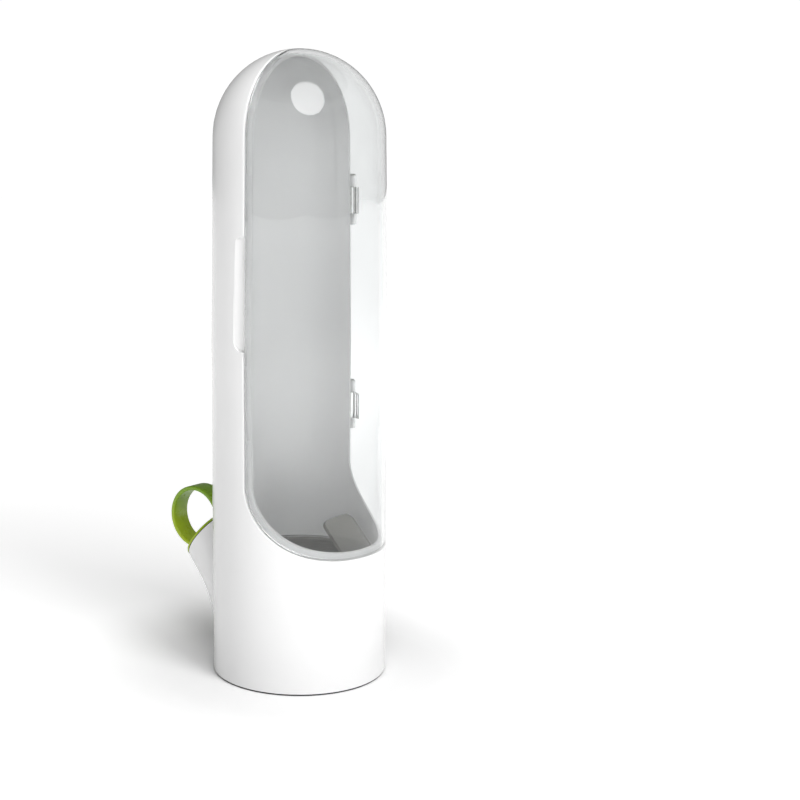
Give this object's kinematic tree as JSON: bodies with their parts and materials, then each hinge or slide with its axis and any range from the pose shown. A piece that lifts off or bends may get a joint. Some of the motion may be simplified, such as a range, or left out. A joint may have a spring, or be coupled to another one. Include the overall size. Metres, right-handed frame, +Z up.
{
  "type": "herb keeper",
  "caption": "Tall domed herb keeper with a hinged clear door, a water reservoir, a filler spout with a ring-pull plug and a lift-out tray.",
  "frame": {"origin": "centre of the round body on the floor plane that the foot ring rests on", "axes": "+Z up along the body's axis; -Y towards the middle of the clear door; +Y towards the filling spout; +X towards the door's hinge"},
  "size_m": [0.0845, 0.1142, 0.28],
  "materials": {
    "white_shell": "glossy",
    "white_base": "satin",
    "grey_foot": "matte",
    "clear_door": "clear polished plastic",
    "pin_steel": "drawn",
    "smoky_tray": "clear smoky plastic",
    "green_plug": "satin",
    "dark_seal": "matte"
  },
  "bodies": {
    "body": {"shell": "white_shell", "base_plate": "white_base", "foot_ring": "grey_foot", "hinge_pin_lower": "pin_steel", "hinge_pin_upper": "pin_steel"},
    "door": {"door": "clear_door"},
    "tray": {"tray": "smoky_tray"},
    "plug": {"plug": "green_plug", "plug_seal": "dark_seal"}
  },
  "joints": [
    {"name": "door_hinge", "type": "hinge", "parent": "body", "child": "door", "pos_m": [0.04245, 0, 0.166], "axis": [0, 0, 1], "range_deg": [0, 110]},
    {"name": "tray_lift", "type": "slide", "parent": "body", "child": "tray", "axis": [0, 0, 1], "range_m": [0, 0.06]},
    {"name": "plug_pull", "type": "slide", "parent": "body", "child": "plug", "axis": [0, 0.7848, 0.6198], "range_m": [0, 0.03]}
  ]
}
